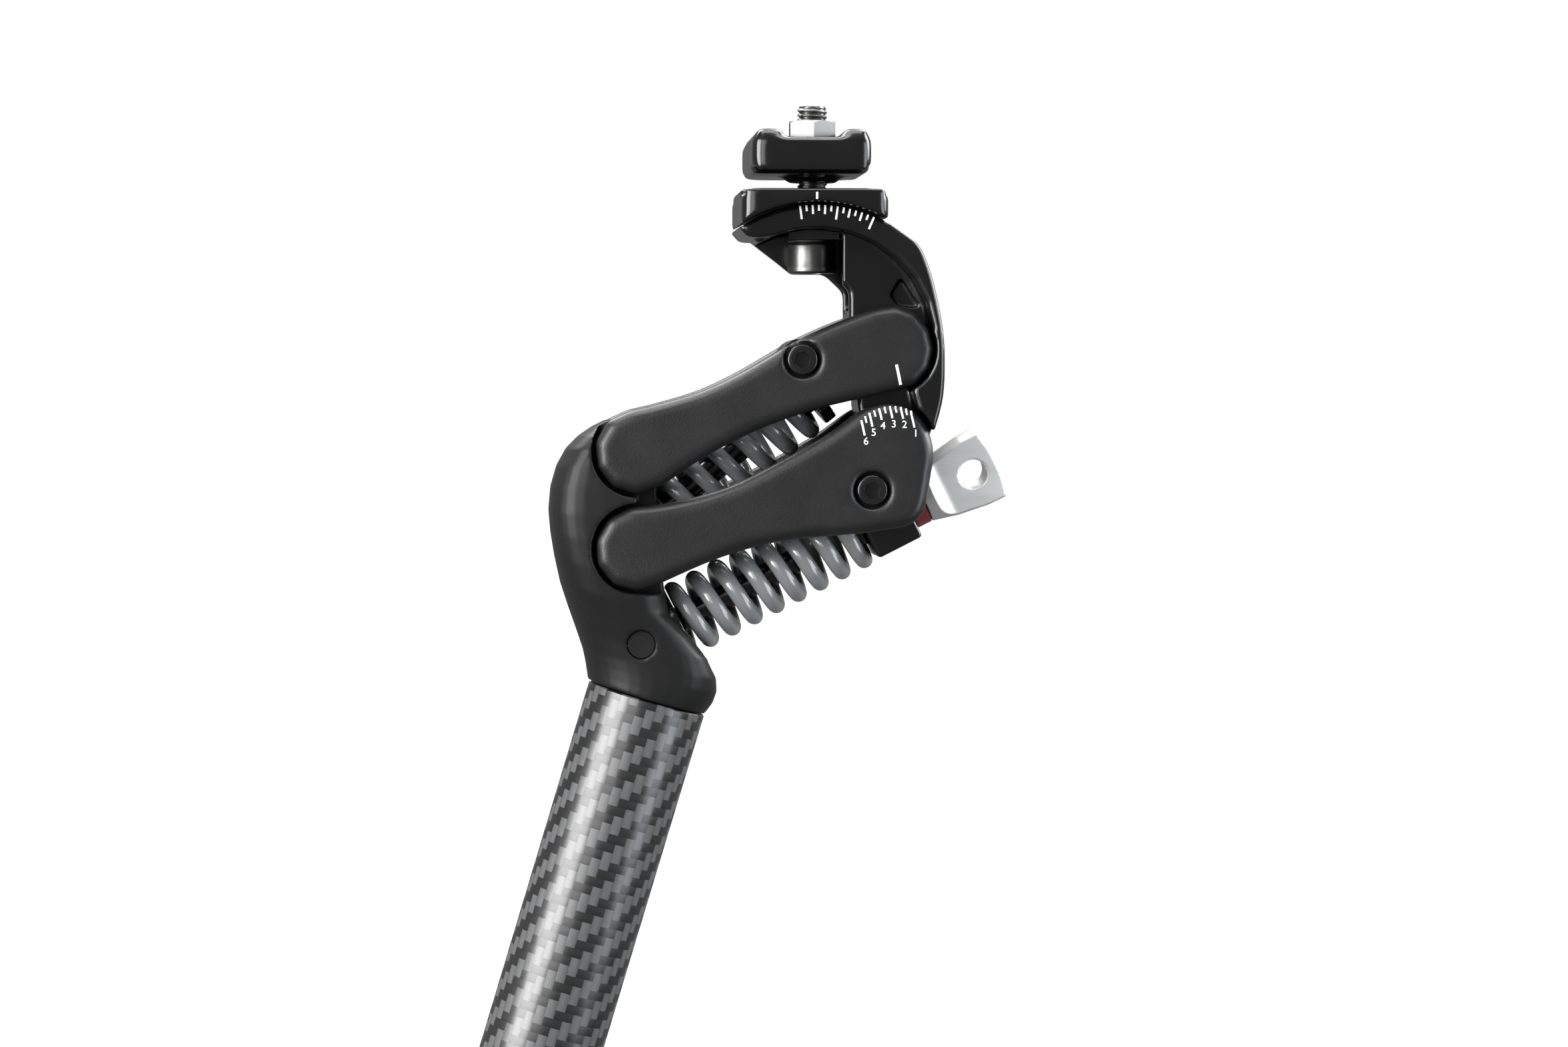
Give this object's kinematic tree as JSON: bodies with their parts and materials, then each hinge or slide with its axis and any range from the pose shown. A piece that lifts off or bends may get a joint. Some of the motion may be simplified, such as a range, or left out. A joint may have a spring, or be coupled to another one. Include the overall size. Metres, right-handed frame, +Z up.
{
  "type": "suspension seatpost",
  "caption": "Parallelogram suspension seatpost with leaning tube, sprung links, preload knob and tilting saddle rail clamp.",
  "frame": {"origin": "on the seat tube axis at the minimum insertion depth, 100 mm from the lower end", "axes": "+X to the rear of the bicycle, +Y to its right side, +Z up, with the tube leaning 16.8 degrees"},
  "size_m": [0.1707, 0.054, 0.3609],
  "materials": {
    "carbon": "glossy 2x2 twill carbon fibre",
    "gloss_black": "smooth black anodised, semi gloss",
    "head_black": "smooth black anodised, satin",
    "satin_black": "fine grained satin black",
    "bearing_bronze": "plain bearing bronze",
    "dark_steel": "black oxide",
    "bright_steel": "bright stainless",
    "spring_grey": "glossy mid grey coating",
    "bare_aluminium": "bare machined",
    "red_anodised": "red anodised"
  },
  "bodies": {
    "seatpost_body": {"seat_tube": "carbon", "lower_head": "head_black", "head_cross_pin": "head_black", "lower_front_axle": "bright_steel", "lower_front_axle_screw": "dark_steel", "upper_front_axle": "bright_steel", "upper_front_axle_screw": "dark_steel"},
    "lower_link": {"lower_arm_left": "satin_black", "lower_arm_right": "satin_black", "lower_front_bearing_left": "bearing_bronze", "lower_front_bearing_right": "bearing_bronze", "lower_rear_bearing_left": "bearing_bronze", "lower_rear_bearing_right": "bearing_bronze", "lower_trunnion": "bright_steel", "lower_trunnion_screw_left": "dark_steel", "lower_trunnion_screw_right": "dark_steel"},
    "upper_link": {"upper_arm_left": "satin_black", "upper_arm_right": "satin_black", "upper_front_bearing_left": "bearing_bronze", "upper_front_bearing_right": "bearing_bronze", "upper_rear_bearing_left": "bearing_bronze", "upper_rear_bearing_right": "bearing_bronze", "upper_trunnion": "bright_steel", "upper_trunnion_screw_left": "dark_steel", "upper_trunnion_screw_right": "dark_steel"},
    "bracket": {"upper_bracket": "gloss_black", "lower_rear_axle": "bright_steel", "lower_rear_axle_screw": "dark_steel", "upper_rear_axle": "bright_steel", "upper_rear_axle_screw": "dark_steel"},
    "lower_front_seat": {"lower_spring_front_seat": "gloss_black", "lower_spring": "spring_grey"},
    "upper_front_seat": {"upper_spring_front_seat": "gloss_black", "upper_spring": "spring_grey"},
    "lower_rear_seat": {"lower_spring_rear_seat": "gloss_black", "preload_washer": "red_anodised"},
    "upper_rear_seat": {"upper_spring_rear_seat": "gloss_black"},
    "preload_adjuster": {"preload_knob": "bare_aluminium", "preload_screw": "bright_steel"},
    "cradle": {"rail_cradle": "gloss_black", "curved_washer": "dark_steel"},
    "top_clamp": {"top_clamp": "gloss_black", "clamp_nut": "bright_steel"},
    "clamp_bolt": {"clamp_bolt": "bright_steel"}
  },
  "joints": [
    {"name": "lower_link_fold", "type": "hinge", "parent": "seatpost_body", "child": "lower_link", "pos_m": [0.0287, 0, 0.1452], "axis": [0, 1, 0], "range_deg": [0, 27], "stiffness_Nm_per_rad": 160, "springref_deg": -3.44},
    {"name": "upper_link_fold", "type": "hinge", "parent": "seatpost_body", "child": "upper_link", "pos_m": [0.0287, 0, 0.1702], "axis": [0, 1, 0], "range_deg": [-1, 28]},
    {"name": "bracket_pivot", "type": "hinge", "parent": "lower_link", "child": "bracket", "pos_m": [0.09453, 0, 0.1718], "axis": [0, 1, 0], "range_deg": [-28, 1]},
    {"name": "lower_front_seat_swing", "type": "hinge", "parent": "seatpost_body", "child": "lower_front_seat", "pos_m": [0.0299, 0, 0.1203], "axis": [0, 1, 0], "range_deg": [-1, 26], "deforming": ["lower_spring"]},
    {"name": "upper_front_seat_swing", "type": "hinge", "parent": "seatpost_body", "child": "upper_front_seat", "pos_m": [0.0287, 0, 0.1452], "axis": [0, 1, 0], "range_deg": [-1, 23], "deforming": ["upper_spring"]},
    {"name": "lower_rear_seat_swing", "type": "hinge", "parent": "lower_link", "child": "lower_rear_seat", "pos_m": [0.08958, 0, 0.1603], "axis": [0, 1, 0], "range_deg": [-4, 1]},
    {"name": "upper_rear_seat_swing", "type": "hinge", "parent": "upper_link", "child": "upper_rear_seat", "pos_m": [0.07148, 0, 0.19406], "axis": [0, 1, 0], "range_deg": [-7, 1]},
    {"name": "preload_turn", "type": "hinge", "parent": "lower_rear_seat", "child": "preload_adjuster", "pos_m": [0.0299, 0, 0.1203], "axis": [0.8913, 0, 0.4534], "range_deg": [-360, 360]},
    {"name": "cradle_tilt", "type": "hinge", "parent": "bracket", "child": "cradle", "pos_m": [0.0754, 0, 0.1979], "axis": [0, 1, 0], "range_deg": [-8, 14]},
    {"name": "clamp_lift", "type": "slide", "parent": "cradle", "child": "top_clamp", "axis": [0, 0, 1], "range_m": [0, 0.0035]},
    {"name": "bolt_turn", "type": "hinge", "parent": "cradle", "child": "clamp_bolt", "pos_m": [0.0754, 0, 0.23], "axis": [0, 0, 1], "range_deg": [-1010, 1]}
  ],
  "couplings": [
    {"joint": "upper_link_fold", "follows": "lower_link_fold", "ratio": 1},
    {"joint": "bracket_pivot", "follows": "lower_link_fold", "ratio": -1},
    {"joint": "lower_front_seat_swing", "follows": "lower_link_fold", "ratio": 0.905},
    {"joint": "upper_front_seat_swing", "follows": "lower_link_fold", "ratio": 0.79},
    {"joint": "lower_rear_seat_swing", "follows": "lower_link_fold", "ratio": -0.095},
    {"joint": "upper_rear_seat_swing", "follows": "lower_link_fold", "ratio": -0.21},
    {"joint": "bolt_turn", "follows": "clamp_lift", "rad_per_m": -5026.5}
  ]
}
